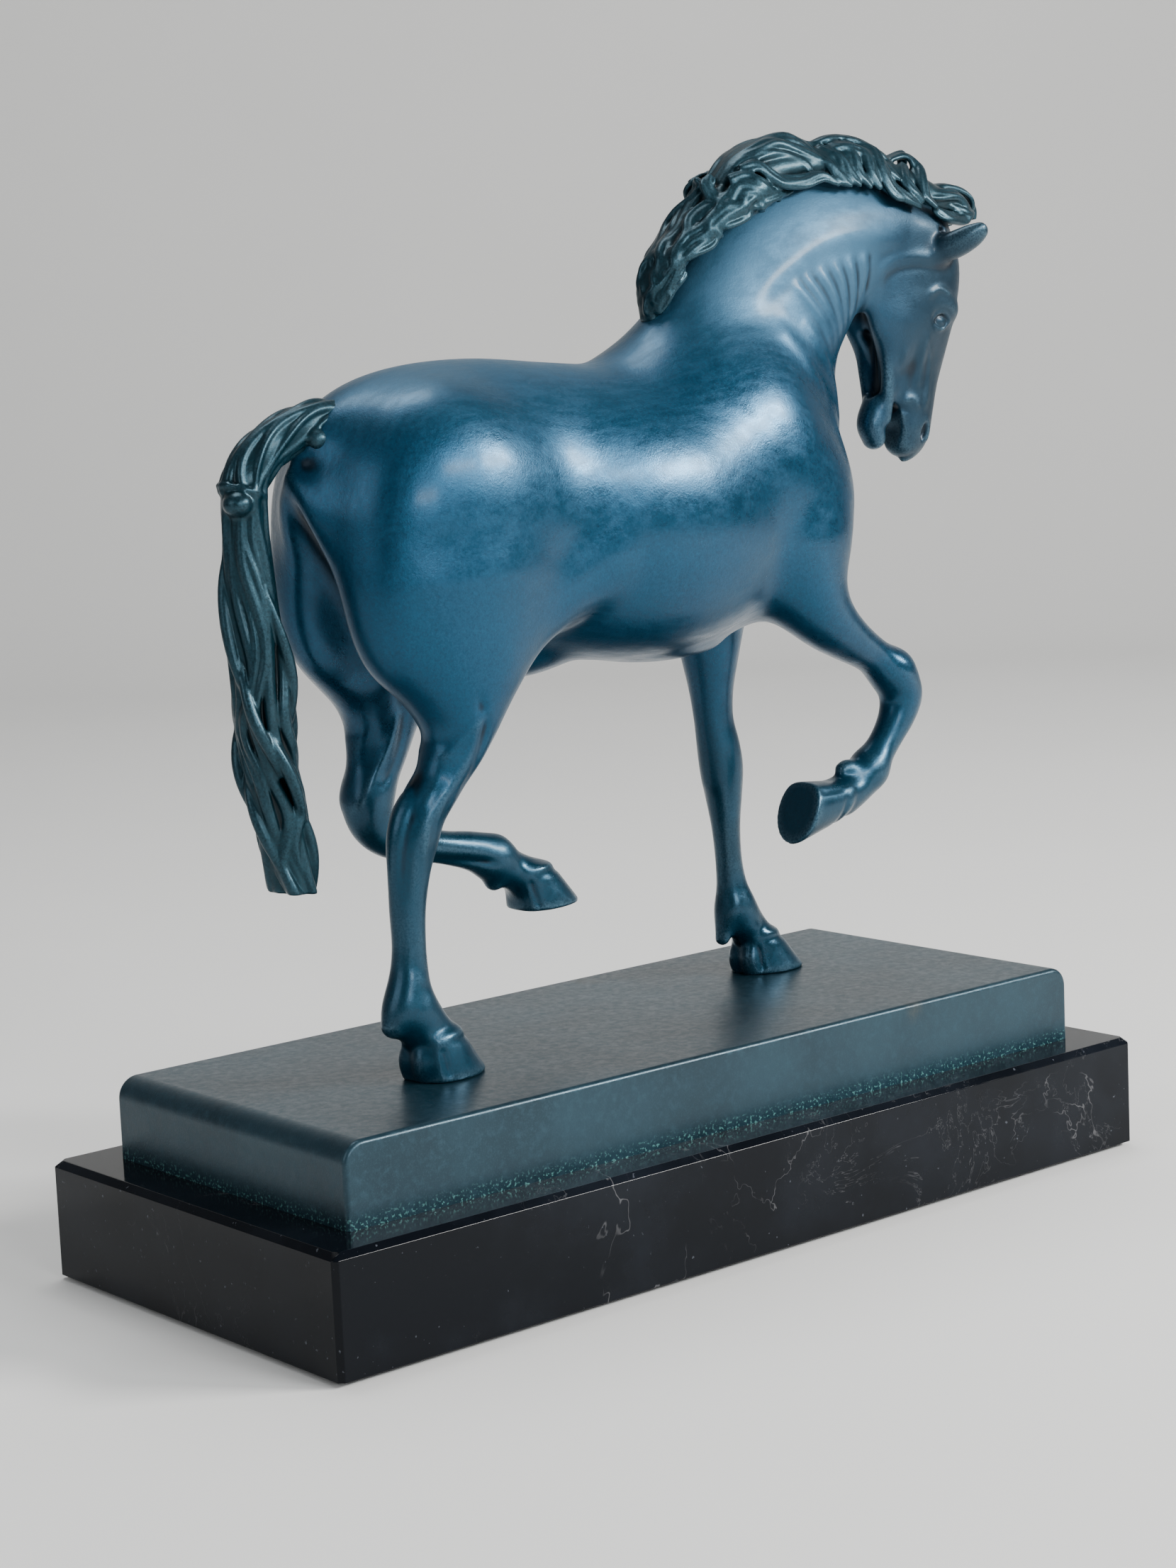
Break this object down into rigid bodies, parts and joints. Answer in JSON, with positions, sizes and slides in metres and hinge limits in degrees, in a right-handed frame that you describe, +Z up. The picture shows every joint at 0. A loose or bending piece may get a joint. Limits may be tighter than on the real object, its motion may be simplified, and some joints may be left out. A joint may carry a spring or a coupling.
{
  "type": "horse statuette",
  "caption": "Patinated cast statuette of a pacing horse with an arched neck and two raised legs, on a flat plinth bolted to a polished stone slab.",
  "frame": {"origin": "centre of the underside of the felt pad, on the surface that the statuette stands on", "axes": "+X the way the horse faces, +Y its left side, +Z up"},
  "size_m": [0.2307, 0.1, 0.2329],
  "materials": {
    "blue_patina_bronze": "waxed blue patina over chased bronze, satin to glossy",
    "dark_patina_bronze": "dark blue-green patina, lighter on the ridges of the locks",
    "plinth_patina_bronze": "waxed grey-blue patina, rubbed brown in places",
    "raw_bronze": "machined",
    "black_marble": "polished",
    "black_felt": "pressed wool felt",
    "zinc_steel": "zinc plated"
  },
  "bodies": {
    "root": {"trunk_casting": "blue_patina_bronze", "core_plugs": "blue_patina_bronze", "neck_casting": "blue_patina_bronze", "head_casting": "blue_patina_bronze", "mane_casting": "dark_patina_bronze", "tail_casting": "dark_patina_bronze", "right_hind_leg_casting": "blue_patina_bronze", "left_hind_leg_casting": "blue_patina_bronze", "right_fore_leg_casting": "blue_patina_bronze", "left_fore_leg_casting": "blue_patina_bronze", "neck_joint_sleeve": "raw_bronze", "head_joint_pin": "raw_bronze", "leg_joint_dowels": "raw_bronze", "tail_joint_pin": "raw_bronze", "plinth_casting": "plinth_patina_bronze", "hoof_studs": "zinc_steel", "hoof_stud_washers": "zinc_steel", "hoof_stud_nuts": "zinc_steel", "marble_base": "black_marble", "base_bolts": "zinc_steel", "base_washers": "zinc_steel", "felt_pad": "black_felt"}
  },
  "joints": []
}
